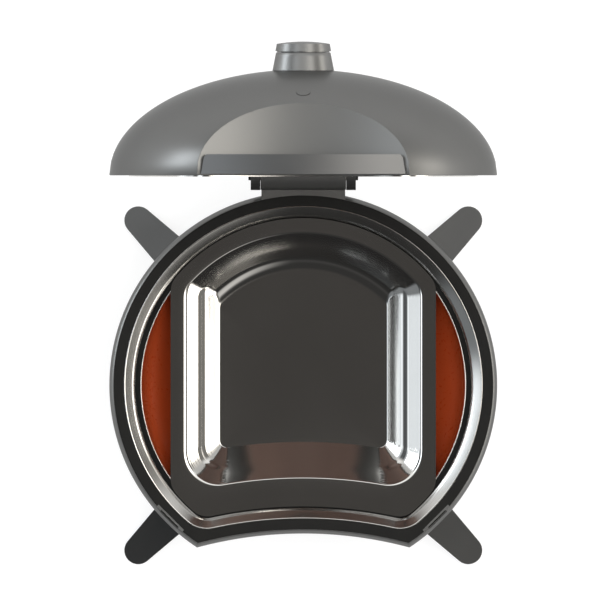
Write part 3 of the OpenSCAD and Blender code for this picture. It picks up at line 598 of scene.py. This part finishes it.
world = bpy.data.worlds.new("studio")
scene.world = world
world.use_nodes = True
wt = world.node_tree
back = wt.nodes["Background"]
coord = wt.nodes.new("ShaderNodeTexCoord")
xyz = wt.nodes.new("ShaderNodeSeparateXYZ")
wt.links.new(coord.outputs["Generated"], xyz.inputs[0])
POWER = 8.0     # colour ramps hold no more than 1, so the sky is drawn this much darker and multiplied


def sky(stops):
    """Brightness against the height of a direction above the horizon, as a colour ramp."""
    node = wt.nodes.new("ShaderNodeValToRGB")
    e = node.color_ramp.elements
    for pos, _ in stops[2:]:
        e.new(pos)
    for i, (pos, col) in enumerate(stops):
        e[i].position = pos
        e[i].color = (*[c / POWER for c in col], 1)
    wt.links.new(xyz.outputs["Z"], node.inputs["Fac"])
    return node.outputs["Color"]


def mix(a, b, fac):
    """From a where fac is 0 to b where it is 1."""
    node = wt.nodes.new("ShaderNodeMix")
    node.data_type = "RGBA"
    wt.links.new(a, node.inputs["A"])
    wt.links.new(b, node.inputs["B"])
    wt.links.new(fac, node.inputs["Factor"])
    return node.outputs["Result"]


def step(value, lo, hi):
    """A soft step from 0 at lo to 1 at hi."""
    node = wt.nodes.new("ShaderNodeMapRange")
    node.interpolation_type = "SMOOTHSTEP"
    node.inputs["From Min"].default_value, node.inputs["From Max"].default_value = lo, hi
    wt.links.new(value, node.inputs["Value"])
    return node.outputs["Result"]


def absolute(socket, scale):
    node = wt.nodes.new("ShaderNodeMath")
    node.operation = "ABSOLUTE"
    wt.links.new(socket, node.inputs[0])
    times = wt.nodes.new("ShaderNodeMath")
    times.operation = "MULTIPLY"
    times.inputs[1].default_value = scale
    wt.links.new(node.outputs[0], times.inputs[0])
    return times.outputs[0]


COOL, WARM = (0.94, 1.0, 1.05), (1.04, 1.0, 0.93)
DARK = (0.066, 0.0625, 0.059)
ZENITH = 0.997


def tinted(tone, *stops):
    """A sky in one tone, dark straight overhead, which is what flat steel mirrors upwards."""
    return sky([(p, tuple(v * k for k in tone)) for p, v in stops] + [(ZENITH, DARK)])


# Soft boxes low and high at each side, a pale wall behind and a dark room ahead. The first hundredth of
# the height is a pale band, so that a level view has a pale background
HIGH_LEFT = [(0.52, 0.5), (0.6, 0.12), (0.74, 0.12), (0.8, 3.4), (0.9, 3.3), (0.93, 0.6), (0.95, 0.06)]
HIGH_RIGHT = [(0.31, 0.25), (0.7, 0.25), (0.78, 5.4), (0.94, 5.4), (0.985, 1.8)]
left_ahead = tinted(COOL, (0.0, 1.0), (0.01, 0.3), (0.45, 0.25), (0.6, 0.1), (0.96, 0.06))
left_mid = tinted(COOL, (0.0, 3.2), (0.06, 3.0), (0.1, 1.12), (0.26, 1.12), (0.3, 1.5), (0.42, 1.5), *HIGH_LEFT)
left_rear = tinted(COOL, (0.0, 7.2), (0.22, 7.2), (0.34, 1.4), (0.42, 1.0), *HIGH_LEFT)
right_mid = tinted(WARM, (0.0, 4.4), (0.24, 4.4), *HIGH_RIGHT)
behind = tinted((1, 1, 0.985), (0.0, 1.0), (0.01, 0.45), (0.25, 0.6), (0.45, 0.9), (0.85, 1.35), (0.95, 1.3),
                (0.98, 0.45))
ahead_left = tinted((1, 0.99, 0.97), (0.0, 1.0), (0.01, 0.024), (0.45, 0.04), (0.6, 0.07), (0.78, 0.045),
                    (0.96, 0.045))
ahead_right = tinted((1.02, 1, 0.96), (0.0, 1.0), (0.01, 0.03), (0.4, 0.05), (0.55, 0.7), (0.75, 0.8),
                     (0.88, 0.1), (0.96, 0.05))
right_rear = tinted(WARM, (0.0, 1.2), (0.24, 1.2), *HIGH_RIGHT)
right_ahead = tinted(WARM, (0.0, 3.4), (0.24, 3.4), (0.31, 0.25), (0.8, 0.25), (0.96, 0.08))

# East is the right, north the rear: each side's sky changes along Y, and the sides meet the ends diagonally
east, north = xyz.outputs["X"], xyz.outputs["Y"]
left = mix(mix(left_ahead, left_mid, step(north, -0.2, 0.0)), left_rear, step(north, 0.06, 0.22))
right = mix(mix(right_ahead, right_mid, step(north, -0.2, 0.0)), right_rear, step(north, 0.3, 0.46))
sides = mix(left, right, step(east, -0.08, 0.08))
ahead = mix(ahead_left, ahead_right, step(east, 0.05, 0.45))
ends = mix(ahead, behind, step(north, -0.02, 0.02))
spread = wt.nodes.new("ShaderNodeMath")
spread.operation = "SUBTRACT"
wt.links.new(absolute(north, 1.0), spread.inputs[0])
wt.links.new(absolute(east, 0.7), spread.inputs[1])
wt.links.new(mix(sides, ends, step(spread.outputs[0], -0.1, 0.12)), back.inputs["Color"])
back.inputs["Strength"].default_value = POWER

# An overhead light that only matt surfaces see, as a polariser on it would do
lamp = bpy.data.lights.new("overhead", "AREA")
lamp.shape, lamp.size, lamp.energy = "DISK", 5.0, 220
over = bpy.data.objects.new("overhead", lamp)
over.location = (0.4, -0.6, 5.0)
over.visible_glossy = False
over.visible_camera = False
scene.collection.objects.link(over)

FLOOR_HALF = 60
floor_mesh = bpy.data.meshes.new("floor")
floor_mesh.from_pydata([(x * FLOOR_HALF, y * FLOOR_HALF, 0) for x, y in ((-1, -1), (1, -1), (1, 1), (-1, 1))], [],
                       [(0, 1, 2, 3)])
floor = bpy.data.objects.new("floor", floor_mesh)
scene.collection.objects.link(floor)
floor_mat, _, floor_bsdf = graph("floor_pale")
floor_bsdf.inputs["Base Color"].default_value = (0.25, 0.25, 0.25, 1)
floor_bsdf.inputs["Roughness"].default_value = 0.9
floor_bsdf.inputs["Specular IOR Level"].default_value = 0.1
floor_bsdf.inputs["Emission Color"].default_value = (1, 1, 1, 1)
floor_bsdf.inputs["Emission Strength"].default_value = 0.8
floor.data.materials.append(floor_mat)

# Straight down, without perspective
VIEW_WIDTH, VIEW_X, VIEW_Y, ABOVE_RIM = 0.83505, -0.00455, 0.0040, 8
cam_data = bpy.data.cameras.new("camera")
cam_data.type, cam_data.ortho_scale = "ORTHO", VIEW_WIDTH
cam_data.clip_start, cam_data.clip_end = 0.1, 100
camera = bpy.data.objects.new("camera", cam_data)
camera.location = (VIEW_X, VIEW_Y, RIM_Z + ABOVE_RIM)
scene.collection.objects.link(camera)
scene.camera = camera
